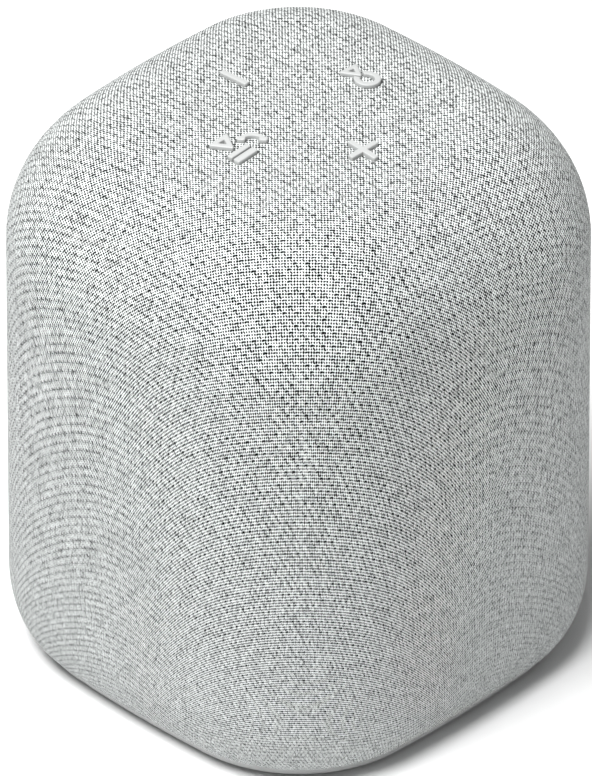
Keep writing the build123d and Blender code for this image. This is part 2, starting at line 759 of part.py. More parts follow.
def placed(place, made):
    """Move a solid, or each of a list of solids, from its local frame to its place."""
    return [place * one for one in made] if isinstance(made, list) else place * made


def assembly():
    nodes = {
        "fabric_cover": fabric_cover(), "grille_shell": grille_shell(), "top_cap": top_cap(),
        "base_plate": base_plate(), "foot_ring": foot_ring(), "base_screws": base_screws(),
        "rear_panel": rear_panel(), "mains_inlet": mains_inlet(), "inlet_pins": inlet_pins(),
        "button_switches": button_switches(), "control_board": control_board(),
        "control_board_screws": control_board_screws(), "microphones": microphones(),
        "microphone_boots": microphone_boots(), "control_ribbon": control_ribbon(),
        "cabinet_shell": cabinet_shell(), "cabinet_gasket": cabinet_gasket(), "cabinet_back": cabinet_back(),
        "cabinet_screws": cabinet_screws(), "acoustic_wadding": acoustic_wadding(),
        "radiator_screws": radiator_screws(), "power_board": power_board(), "transformer": transformer(),
        "power_capacitors": power_capacitors(), "main_board": main_board(), "heatsink": heatsink(),
        "wireless_module": wireless_module(), "antennas": antennas(), "board_screws": board_screws(),
    }
    for name in BUTTONS:
        nodes[f"{name}_button"] = button(name)
        nodes[f"{name}_switch_plunger"] = switch_plunger(name)
    for make in (woofer_frame, woofer_gasket, woofer_surround, woofer_cone, woofer_dust_cap, woofer_voice_coil,
                 woofer_spider, woofer_top_plate, woofer_magnet, woofer_yoke, woofer_screws):
        nodes[make.__name__] = placed(woofer_place(), make())
    for make in (tweeter_housing, tweeter_surround, tweeter_dome, tweeter_magnet, tweeter_screws):
        nodes[make.__name__] = placed(tweeter_place(), make())
    for side, word in ((-1, "left"), (1, "right")):
        for make in (radiator_frame, radiator_surround, radiator_plate):
            nodes[f"{word}_{make.__name__}"] = radiator_place(side) * make()
    return nodes


os.makedirs("parts", exist_ok=True)
for node, made in assembly().items():
    solids = [solid for shape in (made if isinstance(made, list) else [made]) for solid in shape.solids()]
    export_step(solids[0] if len(solids) == 1 else Compound(children=solids), f"parts/{node}.step")
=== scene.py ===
import json
from math import asin, atan2, cos, hypot, pi, radians, sin, sqrt

import bpy
import numpy as np
from mathutils import Matrix, Vector
from mathutils.geometry import delaunay_2d_cdt


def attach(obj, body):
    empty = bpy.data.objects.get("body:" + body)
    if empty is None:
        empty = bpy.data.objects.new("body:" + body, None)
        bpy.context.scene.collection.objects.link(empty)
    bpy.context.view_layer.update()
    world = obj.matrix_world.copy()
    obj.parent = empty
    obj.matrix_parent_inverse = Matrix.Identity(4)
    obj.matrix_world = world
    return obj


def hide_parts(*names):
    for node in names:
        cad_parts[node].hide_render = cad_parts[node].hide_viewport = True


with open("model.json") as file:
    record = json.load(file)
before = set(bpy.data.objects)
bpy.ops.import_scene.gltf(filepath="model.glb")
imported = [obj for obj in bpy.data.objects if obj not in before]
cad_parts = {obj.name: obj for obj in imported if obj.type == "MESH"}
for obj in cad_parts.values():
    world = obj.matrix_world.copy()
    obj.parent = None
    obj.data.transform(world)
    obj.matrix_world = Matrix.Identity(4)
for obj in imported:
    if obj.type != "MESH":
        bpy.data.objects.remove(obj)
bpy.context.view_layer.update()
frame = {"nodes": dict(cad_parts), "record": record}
NODES = frame["nodes"]
MM = 0.001

# ---------- the body's form, in millimetres, as the CAD has it ----------

HALF = 70.0                    # half-width at the widest height
TOP = 171.2
CORNER, BULGE = 41.7, 0.94     # the plan's round corners and the crown of its sides
SHOULDER_IN, SHOULDER_UP = 32.0, 38.3
DOME_R = 374.0
SKIRT_IN, SKIRT_UP, SKIRT_START = 8.8, 20.5, radians(6.6)
HEM_Z = 2.65
CLOTH_T = 0.8
KEY_ORBIT = 24.5
KEY_SUNK, SYMBOL_RISE = 1.0, 1.0
CUT_MARGIN = 0.3
KEY_FLANGE = (164.1, 165.1)    # the flange under each key
STEM_LOW = 163.1
FLANGE_LIP = 1.7
PANEL_W, PANEL_H, PANEL_Z = 36.4, 19.4, 20.5     # the opening for the rear panel

# ---------- the cloth ----------

YARN = 0.825                   # pitch of the yarns on the flat top
COLUMNS = 320                  # the cover's mesh: steps round it, and its rows
SHOULDER_ROWS, WALL_ROWS, SKIRT_ROWS = 30, 46, 13
PATCH_HALF = 39.5              # the top's middle is meshed round the cut-outs as far as this
PATCH_STEP = 2.2
BLOCK_BELOW, BLOCK_ABOVE = 3.5, 4.5     # the wall is remeshed this far past the rear panel's opening
# How much cloth, at the top's pitch, lies on each unit of length down the side, by height. It is drawn
# out over the shoulders and packed at the foot, and differs between the corners and the faces' middles.
# These and the gather are fitted to yarn spacings measured at 42 places.
STRETCH_Z = (2, 50, 85, 115, 135, 150, 162, 172)
CORNER_STRETCH = (1.40, 0.97, 0.79, 0.78, 0.86, 0.925, 0.97, 0.82)
FACE_STRETCH = (1.50, 0.92, 0.83, 0.83, 0.97, 1.095, 1.065, 1.045)
GATHER, GATHER_TOP, GATHER_FADE = 0.016, 168, 18     # cloth drawn from the faces towards the corners


def plan_angles():
    """The outline's points at HALF, in order from +X, with more of them on the corners."""
    flat = HALF - CORNER
    side_r = (flat * flat + BULGE * BULGE) / (2 * BULGE)
    lean = asin(flat / side_r)
    corner_r = (HALF - BULGE - flat) / (cos(lean) - sin(lean))
    centre = HALF - BULGE - corner_r * cos(lean)
    points = []
    per_side = COLUMNS // 4
    on_side = per_side * 2 // 5
    for quarter in range(4):
        turn = quarter * pi / 2
        run = []
        for step in range(on_side):
            t = -lean + 2 * lean * step / on_side
            run.append((HALF - side_r + side_r * cos(t), side_r * sin(t)))
        for step in range(per_side - on_side):
            t = lean + (pi / 2 - 2 * lean) * step / (per_side - on_side)
            run.append((centre + corner_r * cos(t), centre + corner_r * sin(t)))
        for x, y in run:
            points.append((x * cos(turn) - y * sin(turn), x * sin(turn) + y * cos(turn)))
    return np.array(points)


PLAN = plan_angles()
PLAN_ANGLE = np.unwrap(np.arctan2(PLAN[:, 1], PLAN[:, 0]))
PLAN_REACH = np.hypot(PLAN[:, 0], PLAN[:, 1])


def shoulder_end():
    """Angle on the shoulder's ellipse where it meets the dome with no crease, and the half-width there."""
    low, high = 0.001, pi / 2
    for _ in range(60):
        angle = (low + high) / 2
        reach = HALF - SHOULDER_IN + SHOULDER_IN * cos(angle)
        if SHOULDER_UP * cos(angle) / (SHOULDER_IN * sin(angle)) > reach / sqrt(DOME_R**2 - reach**2):
            low = angle
        else:
            high = angle
    return angle, reach


SHOULDER_END, DOME_REACH = shoulder_end()
SHOULDER_Z = TOP - DOME_R + sqrt(DOME_R**2 - DOME_REACH**2) - SHOULDER_UP * sin(SHOULDER_END)
SKIRT_TOP = HEM_Z + SKIRT_UP * cos(SKIRT_START)


def gauge(x, y):
    """Half-width of the plan outline that passes through a point."""
    reach = np.interp(np.arctan2(y, x), PLAN_ANGLE, PLAN_REACH, period=2 * pi)
    return HALF * np.hypot(x, y) / reach


def dome_z(x, y):
    return TOP - DOME_R + np.sqrt(DOME_R**2 - gauge(x, y) ** 2)


def meridian():
    """(half-width, height) down the body's side, from the edge of the top's middle to the hem."""
    rows = [(PATCH_HALF, TOP - DOME_R + sqrt(DOME_R**2 - PATCH_HALF**2))]
    for step in range(SHOULDER_ROWS + 1):
        angle = SHOULDER_END * (1 - step / SHOULDER_ROWS)
        rows.append((HALF - SHOULDER_IN * (1 - cos(angle)), SHOULDER_Z + SHOULDER_UP * sin(angle)))
    for step in range(1, WALL_ROWS + 1):
        rows.append((HALF, SHOULDER_Z + (SKIRT_TOP - SHOULDER_Z) * step / WALL_ROWS))
    for step in range(1, SKIRT_ROWS + 1):
        angle = pi / 2 - (pi / 2 - SKIRT_START) * step / SKIRT_ROWS
        half = HALF - SKIRT_IN * (1 - sin(angle))
        rows.append((half, HEM_Z + SKIRT_UP * (cos(SKIRT_START) - cos(angle))))
    return np.array(rows)


MERIDIAN = meridian()


def cloth_places():
    """Where each row and column of the cover lies on the flat cloth."""
    radius = PLAN_REACH * PATCH_HALF / HALF
    on_face = (1 + np.cos(4 * PLAN_ANGLE)) / 2
    radii = [radius]
    for (half_a, z_a), (half_b, z_b) in zip(MERIDIAN[:-1], MERIDIAN[1:]):
        run = np.hypot(PLAN_REACH * (half_b - half_a) / HALF, z_b - z_a)
        face, corner = (np.interp(z_b, STRETCH_Z, table) for table in (FACE_STRETCH, CORNER_STRETCH))
        radius = radius + run * (corner + (face - corner) * on_face)
        radii.append(radius)
    gather = GATHER * np.clip((GATHER_TOP - MERIDIAN[:, 1]) / GATHER_FADE, 0, 1)
    angles = PLAN_ANGLE - gather[:, None] * np.sin(4 * PLAN_ANGLE)
    return np.stack([radii * np.cos(angles), radii * np.sin(angles)], 2)


# ---------- outlines of the raised symbols ----------

def arc(cx, cy, radius, start, sweep, count):
    turns = [radians(start + sweep * i / count) for i in range(count + 1)]
    return [(cx + radius * cos(t), cy + radius * sin(t)) for t in turns]


def rounded(points, radius, steps=5):
    """A closed polygon with its corners rounded."""
    out = []
    count = len(points)
    for i in range(count):
        here = Vector(points[i])
        back = (Vector(points[i - 1]) - here).normalized()
        ahead = (Vector(points[(i + 1) % count]) - here).normalized()
        half = back.angle(ahead) / 2
        run = radius / max(1e-6, np.tan(half))
        centre = here + (back + ahead).normalized() * (radius / sin(half))
        first, last = here + back * run - centre, here + ahead * run - centre
        a = atan2(first.y, first.x)
        sweep = (atan2(last.y, last.x) - a + pi) % (2 * pi) - pi
        for k in range(steps + 1):
            t = a + sweep * k / steps
            out.append((centre.x + radius * cos(t), centre.y + radius * sin(t)))
    return out


def bar(width, height, grow, x=0.0, y=0.0, turn=0.0, radius=0.4):
    w, h = width / 2 + grow, height / 2 + grow
    t = radians(turn)
    loop = rounded([(-w, -h), (w, -h), (w, h), (-w, h)], radius + grow)
    return [[(x + px * cos(t) - py * sin(t), y + px * sin(t) + py * cos(t)) for px, py in loop]]


def arrow(back, tip, half_height, grow, y):
    """A triangle of thick strokes, with a small hole in its middle unless it is grown."""
    slant = hypot(tip - back, half_height)
    centre = back + (tip - back) * half_height / (half_height + slant)
    inner = (tip - back) * half_height / (half_height + slant)
    scale = (inner + grow) / inner
    shapes = []
    for share, radius in ((scale, 0.45 + grow), (0.3, 0.12)):
        low, high = centre + (back - centre) * share, centre + (tip - centre) * share
        reach = half_height * share
        shapes.append(rounded([(low, y - reach), (high, y), (low, y + reach)], radius))
    return shapes[:1] if grow else shapes


def stroke(radius, start, sweep, width, x, y, grow):
    widen = np.degrees(grow / radius)
    start, sweep, half = start - widen, sweep + 2 * widen, width / 2 + grow
    count = int(sweep / 7)
    outer, inner = (arc(x, y, r, start, sweep, count) for r in (radius + half, radius - half))
    return [outer + inner[::-1]]


def minus_shapes(grow):
    return [bar(9.9, 1.8, grow)]


def plus_shapes(grow):
    return [bar(10.2, 1.8, grow), bar(1.8, 10.2, grow)]


def play_shapes(grow):
    handset = [stroke(3.54, 70, 121, 1.35, 0.98, 5.47, grow)]
    handset += [bar(2.4, 1.8, grow, x, y, 40, 0.6) for x, y in ((-2.4, 4.75), (2.25, 8.7))]
    pause = [bar(1.8, 7.4, grow, 1.15, 0.3), bar(2.2, 7.4, grow, 3.75, 0.3)]
    if grow:
        pause = [bar(4.6, 7.4, grow, 2.55, 0.3)]
    return [arrow(-6.9, -0.4, 3.75, grow, 0.2)] + pause + handset


def preset_shapes(grow):
    return [arrow(-5.65, 0.0, 3.6, grow, 0.2), stroke(2.88, -149, 307, 1.8, 1.7, 0.5, grow)]


BUTTONS = {
    "minus": (minus_shapes, (-KEY_ORBIT, 0.0), (-KEY_ORBIT, 0.0), 7.8),
    "plus": (plus_shapes, (KEY_ORBIT, 0.0), (KEY_ORBIT, 0.0), 7.8),
    "play": (play_shapes, (0.0, -KEY_ORBIT), (-0.8, 2.2 - KEY_ORBIT), 9.7),
    "preset": (preset_shapes, (0.0, KEY_ORBIT), (0.0, KEY_ORBIT), 7.8),
}


# ---------- flat meshes with holes ----------

def inside(points, loop):
    """Which points lie inside a closed loop."""
    loop = np.array(loop)
    x, y = points[:, 0][:, None], points[:, 1][:, None]
    ax, ay = loop[:, 0], loop[:, 1]
    bx, by = np.roll(ax, -1), np.roll(ay, -1)
    crosses = (ay > y) != (by > y)
    slope = (bx - ax) / np.where(by == ay, 1e-12, by - ay)
    return (crosses & (x < ax + slope * (y - ay))).sum(1) % 2 == 1


def covered(points, shapes):
    """Which points any of the shapes covers. A shape is an outline and its holes."""
    out = np.zeros(len(points), bool)
    for shape in shapes:
        here = inside(points, shape[0])
        for hole in shape[1:]:
            here &= ~inside(points, hole)
        out |= here
    return out


def triangulate(loops, keep, extra=()):
    """Triangles between closed loops and loose points. keep says which centres belong."""
    verts, edges = [], []
    for loop in loops:
        base = len(verts)
        verts += [Vector(p) for p in loop]
        edges += [(base + i, base + (i + 1) % len(loop)) for i in range(len(loop))]
    verts += [Vector(p) for p in extra]
    points, _, faces, *_ = delaunay_2d_cdt(verts, edges, [], 0, 1e-7)
    points = np.array([tuple(p) for p in points])
    faces = np.array([tuple(f) for f in faces])
    centres = points[faces].mean(1)
    return points, faces[keep(centres)]


def boundary(faces):
    """The closed loops round a set of triangles, as point numbers, with the faces on their left."""
    edges = {}
    for face in faces.tolist():
        for a, b in zip(face, face[1:] + face[:1]):
            edges[(a, b)] = True
    after = {a: b for a, b in edges if (b, a) not in edges}
    loops = []
    while after:
        start, here = next(iter(after.items()))
        loop = [start]
        del after[start]
        while here != start:
            loop.append(here)
            here = after.pop(here)
        loops.append(loop)
    return loops


def union_loops(shapes):
    """The outlines of overlapping shapes taken together."""
    every = [loop for shape in shapes for loop in shape]
    points, faces = triangulate(every, lambda centres: covered(centres, shapes))
    corners = points[faces]
    turn = np.cross(corners[:, 1] - corners[:, 0], corners[:, 2] - corners[:, 0])
    faces[turn < 0] = faces[turn < 0][:, ::-1]
    return [points[loop] for loop in boundary(faces)]


def inset(loop, depth):
    """A loop moved towards the faces on its left."""
    before, after = loop - np.roll(loop, 1, 0), np.roll(loop, -1, 0) - loop
    before /= np.linalg.norm(before, axis=1)[:, None]
    after /= np.linalg.norm(after, axis=1)[:, None]
    left_a = np.stack([-before[:, 1], before[:, 0]], 1)
    left_b = np.stack([-after[:, 1], after[:, 0]], 1)
    mitre = left_a + left_b
    mitre /= np.maximum(0.5, (mitre**2).sum(1) / 2)[:, None]
    return loop + mitre * depth


def piece(name, verts, faces, smooth_deg=None):
    mesh = bpy.data.meshes.new(name)
    mesh.from_pydata([tuple(p) for p in np.array(verts) * MM], [], [tuple(int(i) for i in f) for f in faces])
    mesh.validate()
    mesh.update()
    obj = bpy.data.objects.new(name, mesh)
    bpy.context.scene.collection.objects.link(obj)
    if smooth_deg:
        mesh.shade_smooth()
        mesh.set_sharp_from_angle(angle=radians(smooth_deg))
    return obj


def applied(obj):
    """Replace an object's mesh with what its modifiers make of it."""
    deps = bpy.context.evaluated_depsgraph_get()
    evaluated = obj.evaluated_get(deps)
    made = bpy.data.meshes.new_from_object(evaluated, preserve_all_data_layers=True, depsgraph=deps)
    obj.modifiers.clear()
    old, obj.data = obj.data, made
    bpy.data.meshes.remove(old)
    return obj


# ---------- the cloth cover ----------

def symbol_holes():
    holes = []
    for shapes, (x, y), _, _ in BUTTONS.values():
        for loop in union_loops(shapes(CUT_MARGIN)):
            holes.append(loop + np.array((x, y)))
    return holes


def hex_points(low, high, step):
    out = []
    row = 0
    y = low[1]
    while y < high[1]:
        x = low[0] + (row % 2) * step / 2
        while x < high[0]:
            out.append((x, y))
            x += step
        y += step * 0.866
        row += 1
    return np.array(out)


def clear_of(points, loops, distance):
    """Which points are at least a distance from every loop's corners and edges."""
    ok = np.ones(len(points), bool)
    for loop in loops:
        a, b = np.array(loop), np.roll(np.array(loop), -1, 0)
        ab = b - a
        t = ((points[:, None] - a) * ab).sum(2) / np.maximum(1e-12, (ab**2).sum(1))
        near = a + np.clip(t, 0, 1)[:, :, None] * ab
        ok &= np.linalg.norm(points[:, None] - near, axis=2).min(1) > distance
    return ok


def fabric_cover():
    """The knitted cover as one sheet, with each point's place on the flat cloth."""
    verts, faces = [], []
    for half, z in MERIDIAN:
        verts += [(x, y, z) for x, y in PLAN * half / HALF]
    cloth = list(cloth_places().reshape(-1, 2))
    rows = len(MERIDIAN)
    wall = np.array(verts).reshape(rows, COLUMNS, 3)
    # the block of cells that the rear panel's opening takes out of the back wall
    back = COLUMNS // 4
    columns = [c for c in range(COLUMNS) if wall[30, c, 1] > 0 and abs(wall[30, c, 0]) < PANEL_W / 2 + 4.5]
    heights = MERIDIAN[:, 1]
    block_low, block_high = PANEL_Z - PANEL_H / 2 - BLOCK_BELOW, PANEL_Z + PANEL_H / 2 + BLOCK_ABOVE
    block_rows = [r for r in range(rows) if block_low < heights[r] < block_high]
    first_c, last_c, first_r, last_r = min(columns), max(columns), min(block_rows), max(block_rows)
    for r in range(rows - 1):
        for c in range(COLUMNS):
            if first_c <= c < last_c and first_r <= r < last_r:
                continue
            d = (c + 1) % COLUMNS
            faces.append((r * COLUMNS + c, (r + 1) * COLUMNS + c, (r + 1) * COLUMNS + d, r * COLUMNS + d))

    # the middle of the top
    rim = PLAN * PATCH_HALF / HALF
    holes = symbol_holes()
    loose = hex_points((-48, -48), (48, 48), PATCH_STEP)
    loose = loose[inside(loose, rim * 0.975) & clear_of(loose, holes, 0.9)]
    loops = [rim] + holes
    solid = lambda centres: sum(inside(centres, loop).astype(int) for loop in loops) % 2 == 1
    points, patch = triangulate(loops, solid, loose)
    base = len(verts)
    same = {}
    for i in np.unique(patch):
        p = points[i]
        near = np.hypot(*(rim - p).T)
        if near.min() < 1e-4:
            same[i] = int(near.argmin())
        else:
            same[i] = len(verts)
            verts.append((p[0], p[1], float(dome_z(p[0], p[1]))))
            cloth.append(p)
    for face in patch.tolist():
        a, b, c = points[face]
        turn = (b[0] - a[0]) * (c[1] - a[1]) - (b[1] - a[1]) * (c[0] - a[0])
        face = face if turn > 0 else face[::-1]
        faces.append(tuple(same[i] for i in face))

    # the wall round the rear panel, laid out on (column, row) and pulled on to the wall
    def grid_place(p):
        c, r = p
        c0, r0 = min(int(c), COLUMNS - 2), min(int(r), rows - 2)
        fc, fr = c - c0, r - r0
        table = np.concatenate([wall, np.array(cloth[:rows * COLUMNS]).reshape(rows, COLUMNS, 2)], 2)
        top = table[r0, c0] * (1 - fc) + table[r0, c0 + 1] * fc
        low = table[r0 + 1, c0] * (1 - fc) + table[r0 + 1, c0 + 1] * fc
        return top * (1 - fr) + low * fr

    xs, zs = wall[first_r, first_c:last_c + 1, 0], heights[first_r:last_r + 1]
    opening = rounded([(-PANEL_W / 2, -PANEL_H / 2), (PANEL_W / 2, -PANEL_H / 2),
                       (PANEL_W / 2, PANEL_H / 2), (-PANEL_W / 2, PANEL_H / 2)], 4.2, 8)
    edge = [(c, first_r) for c in range(first_c, last_c)] + [(last_c, r) for r in range(first_r, last_r)]
    edge += [(c, last_r) for c in range(last_c, first_c, -1)]
    edge += [(first_c, r) for r in range(last_r, first_r, -1)]
    frame_loop = [(wall[r, c, 0], heights[r]) for c, r in edge]
    wide = [(x, z + PANEL_Z) for x, z in opening]
    loose = hex_points((min(xs), min(zs)), (max(xs), max(zs)), 1.6)
    loose = loose[clear_of(loose, [frame_loop, wide], 0.8) & inside(loose, frame_loop) & ~inside(loose, wide)]
    keep = lambda centres: inside(centres, frame_loop) & ~inside(centres, wide)
    points, patch = triangulate([frame_loop, wide], keep, loose)
    same = {}
    for i in np.unique(patch):
        x, z = points[i]
        near = np.hypot(*(np.array(frame_loop) - (x, z)).T)
        if near.min() < 1e-4:
            c, r = edge[int(near.argmin())]
            same[i] = r * COLUMNS + c
            continue
        r = np.interp(-z, -heights, np.arange(rows))
        span = wall[int(r), first_c - 2:last_c + 3, 0]
        c = first_c - 2 + np.interp(-x, -span, np.arange(len(span)))
        place = grid_place((c, r))
        same[i] = len(verts)
        verts.append((x, place[1], z))
        cloth.append(tuple(place[3:]))
    for face in patch.tolist():
        a, b, c = points[face]
        turn = (b[0] - a[0]) * (c[1] - a[1]) - (b[1] - a[1]) * (c[0] - a[0])
        face = face[::-1] if turn > 0 else face
        faces.append(tuple(same[i] for i in face))

    cover = piece("cloth_cover", verts, faces)
    cover.data.shade_smooth()
    flat = np.array(cloth)
    warps = (flat[:, 0] + flat[:, 1]) / sqrt(2) / YARN
    wefts = (flat[:, 1] - flat[:, 0]) / sqrt(2) / YARN
    layer = cover.data.attributes.new("cloth", "FLOAT_VECTOR", "POINT")
    place = np.stack([warps, wefts, np.array(verts)[:, 2]], 1)
    layer.data.foreach_set("vector", place.astype(np.float32).ravel())
    thick = cover.modifiers.new("thickness", "SOLIDIFY")
    thick.thickness = CLOTH_T * MM
    thick.offset = -1
    thick.use_even_offset = True
    applied(cover)
    cover.data.set_sharp_from_angle(angle=radians(50))
    return cover


# ---------- the buttons ----------

def lathe(rings, centre, steps=64):
    """A closed solid of revolution through (radius, height) rings, shut at both ends."""
    verts, faces = [], []
    for radius, z in rings:
        for i in range(steps):
            t = 2 * pi * i / steps
            verts.append((centre[0] + radius * cos(t), centre[1] + radius * sin(t), z))
    for r in range(len(rings) - 1):
        for i in range(steps):
            j = (i + 1) % steps
            faces.append((r * steps + i, r * steps + j, (r + 1) * steps + j, (r + 1) * steps + i))
    faces.append(tuple(range(steps))[::-1])
    faces.append(tuple((len(rings) - 1) * steps + i for i in range(steps)))
    return verts, faces


EDGE_ROUND = 0.34              # radius of a symbol's upper edge
EDGE_STEPS = 5


def button(name):
    """A key with its raised symbol: soft upper edges, straight sides, and the disc and stem below."""
    shapes, (ox, oy), centre, radius = BUTTONS[name]
    verts, faces = [], []
    loops = [loop + np.array((ox, oy)) for loop in union_loops(shapes(0.0))]
    rings = []
    levels = [(0.0, -EDGE_ROUND - 3.2), (0.0, -EDGE_ROUND)]
    for step in range(1, EDGE_STEPS + 1):
        t = pi / 2 * step / EDGE_STEPS
        levels.append((EDGE_ROUND * (1 - cos(t)), -EDGE_ROUND * (1 - sin(t))))
    for loop in loops:
        numbers = []
        for depth, drop in levels:
            moved = inset(loop, depth)
            base = len(verts)
            z = dome_z(moved[:, 0], moved[:, 1]) + SYMBOL_RISE + drop
            verts += [(x, y, h) for (x, y), h in zip(moved, z)]
            numbers.append(list(range(base, base + len(loop))))
        for low, high in zip(numbers, numbers[1:]):
            for i in range(len(loop)):
                j = (i + 1) % len(loop)
                faces.append((low[i], low[j], high[j], high[i]))
        rings.append((numbers[-1], inset(loop, EDGE_ROUND), numbers[0]))
    tops = [ring for _, ring, _ in rings]
    solid = lambda centres: sum(inside(centres, ring).astype(int) for ring in tops) % 2 == 1
    points, cap = triangulate(tops, solid)
    order = {}
    for i, p in enumerate(points):
        for numbers, ring, bottom in rings:
            near = np.hypot(*(ring - p).T)
            if near.min() < 1e-5:
                k = int(near.argmin())
                order[i] = (numbers[k], bottom[k])
    for face in cap.tolist():
        a, b, c = points[face]
        turn = (b[0] - a[0]) * (c[1] - a[1]) - (b[1] - a[1]) * (c[0] - a[0])
        face = face if turn > 0 else face[::-1]
        faces.append(tuple(order[i][0] for i in face))
        faces.append(tuple(order[i][1] for i in face[::-1]))
    face_z = float(dome_z(centre[0], centre[1])) - KEY_SUNK
    rim_z = min(float(dome_z(centre[0] + radius * cos(t), centre[1] + radius * sin(t)))
                for t in np.linspace(0, 2 * pi, 24)) - KEY_SUNK
    lip = radius + FLANGE_LIP
    rings_z = [(2.0, STEM_LOW), (2.4, STEM_LOW + 0.3), (2.4, KEY_FLANGE[0]), (lip - 0.2, KEY_FLANGE[0]),
               (lip, KEY_FLANGE[0] + 0.2), (lip, KEY_FLANGE[1] - 0.2), (lip - 0.2, KEY_FLANGE[1]),
               (radius, KEY_FLANGE[1] + 0.05), (radius, rim_z - 0.35), (radius - 0.12, rim_z - 0.1),
               (radius - 0.4, rim_z), (radius * 0.5, (face_z + rim_z) / 2), (0.6, face_z)]
    key_verts, key_faces = lathe(rings_z, centre)
    base = len(verts)
    verts += key_verts
    faces += [tuple(base + i for i in face) for face in key_faces]
    return piece(f"{name}_key", verts, faces, 38)


# ---------- materials ----------

class Graph:
    """A material's nodes, written as arithmetic."""

    def __init__(self, name):
        self.material = bpy.data.materials.new(name)
        self.material.use_nodes = True
        self.tree = self.material.node_tree
        self.tree.nodes.clear()
        self.surface = self.new("ShaderNodeBsdfPrincipled")
        output = self.new("ShaderNodeOutputMaterial")
        self.tree.links.new(self.surface.outputs[0], output.inputs[0])

    def new(self, kind, **settings):
        node = self.tree.nodes.new(kind)
        for key, value in settings.items():
            setattr(node, key, value)
        return node

    def put(self, socket, value):
        if isinstance(value, Value):
            self.tree.links.new(value.socket, socket)
        else:
            socket.default_value = value

    def math(self, operation, *values):
        node = self.new("ShaderNodeMath", operation=operation)
        for socket, value in zip(node.inputs, values):
            self.put(socket, value)
        return Value(self, node.outputs[0])

    def attribute(self, name):
        node = self.new("ShaderNodeAttribute", attribute_name=name)
        parts = self.new("ShaderNodeSeparateXYZ")
        self.tree.links.new(node.outputs["Vector"], parts.inputs[0])
        return [Value(self, out) for out in parts.outputs]

    def position(self):
        return Value(self, self.new("ShaderNodeTexCoord").outputs["Object"])

    def vector(self, x, y, z=0.0):
        node = self.new("ShaderNodeCombineXYZ")
        for socket, value in zip(node.inputs, (x, y, z)):
            self.put(socket, value)
        return Value(self, node.outputs[0])

    def noise(self, where, scale, detail=2.0, roughness=0.5):
        node = self.new("ShaderNodeTexNoise")
        self.put(node.inputs["Vector"], where)
        for key, value in (("Scale", scale), ("Detail", detail), ("Roughness", roughness)):
            node.inputs[key].default_value = value
        return Value(self, node.outputs["Fac"])

    def random(self, where):
        node = self.new("ShaderNodeTexWhiteNoise", noise_dimensions="3D")
        self.put(node.inputs["Vector"], where)
        return Value(self, node.outputs["Value"])

    def ramp(self, value, low, high, out_low=0.0, out_high=1.0, smooth=True):
        node = self.new("ShaderNodeMapRange", interpolation_type="SMOOTHSTEP" if smooth else "LINEAR")
        for socket, amount in zip(node.inputs, (value, low, high, out_low, out_high)):
            self.put(socket, amount)
        return Value(self, node.outputs[0])

    def lookup(self, place, rows):
        """The row of a table that a share between 0 and 1 picks, as separate numbers."""
        node = self.new("ShaderNodeValToRGB")
        stops = node.color_ramp
        stops.interpolation = "CONSTANT"
        while len(stops.elements) < len(rows):
            stops.elements.new(0.5)
        for i, row in enumerate(rows):
            stops.elements[i].position = i / len(rows)
            stops.elements[i].color = (*row, 1.0)
        self.put(node.inputs["Fac"], place)
        parts = self.new("ShaderNodeSeparateXYZ")
        self.tree.links.new(node.outputs["Color"], parts.inputs[0])
        return [Value(self, out) for out in parts.outputs]

    def blend(self, share, low, high):
        """A colour between two."""
        node = self.new("ShaderNodeMix", data_type="RGBA")
        self.put(node.inputs["Factor"], share)
        colours = [socket for socket in node.inputs if socket.type == "RGBA"]
        for socket, colour in zip(colours, (low, high)):
            self.put(socket, colour if isinstance(colour, Value) else (*colour, 1.0))
        return Value(self, [socket for socket in node.outputs if socket.type == "RGBA"][0])

    def bump(self, height, distance, strength=1.0):
        node = self.new("ShaderNodeBump")
        node.inputs["Strength"].default_value = strength
        node.inputs["Distance"].default_value = distance
        self.put(node.inputs["Height"], height)
        self.tree.links.new(node.outputs[0], self.surface.inputs["Normal"])

    def finish(self, colour, roughness, **uniform):
        self.put(self.surface.inputs["Base Color"], colour if isinstance(colour, Value) else (*colour, 1.0))
        self.put(self.surface.inputs["Roughness"], roughness)
        for key, value in uniform.items():
            self.surface.inputs[key.replace("_", " ")].default_value = value
        return self.material


class Value:
    def __init__(self, graph, socket):
        self.graph, self.socket = graph, socket

    def __add__(self, other):
        return self.graph.math("ADD", self, other)

    def __sub__(self, other):
        return self.graph.math("SUBTRACT", self, other)

    def __rsub__(self, other):
        return self.graph.math("SUBTRACT", other, self)

    def __mul__(self, other):
        return self.graph.math("MULTIPLY", self, other)

    __radd__, __rmul__ = __add__, __mul__

    def floor(self):
        return self.graph.math("FLOOR", self)

    def fract(self):
        return self.graph.math("FRACT", self)

    def sin(self):
        return self.graph.math("SINE", self)

    def max(self, other):
        return self.graph.math("MAXIMUM", self, other)

    def above(self, other):
        return self.graph.math("GREATER_THAN", self, other)


# Each dark opening is partly a gap in the weave and partly painted shade on the under-yarns beside it.
# The dark openings between the yarns are of three kinds: small round ones, long flat dashes that rise to the
# right, and short upright ones that slant to the left. Half-width, half-height and lean are judged shares of
# the yarn pitch.
ROUND = (0.32, 0.34, 0.0)
DASH = (0.60, 0.35, 0.6)
SLANT = (0.35, 0.45, -0.5)
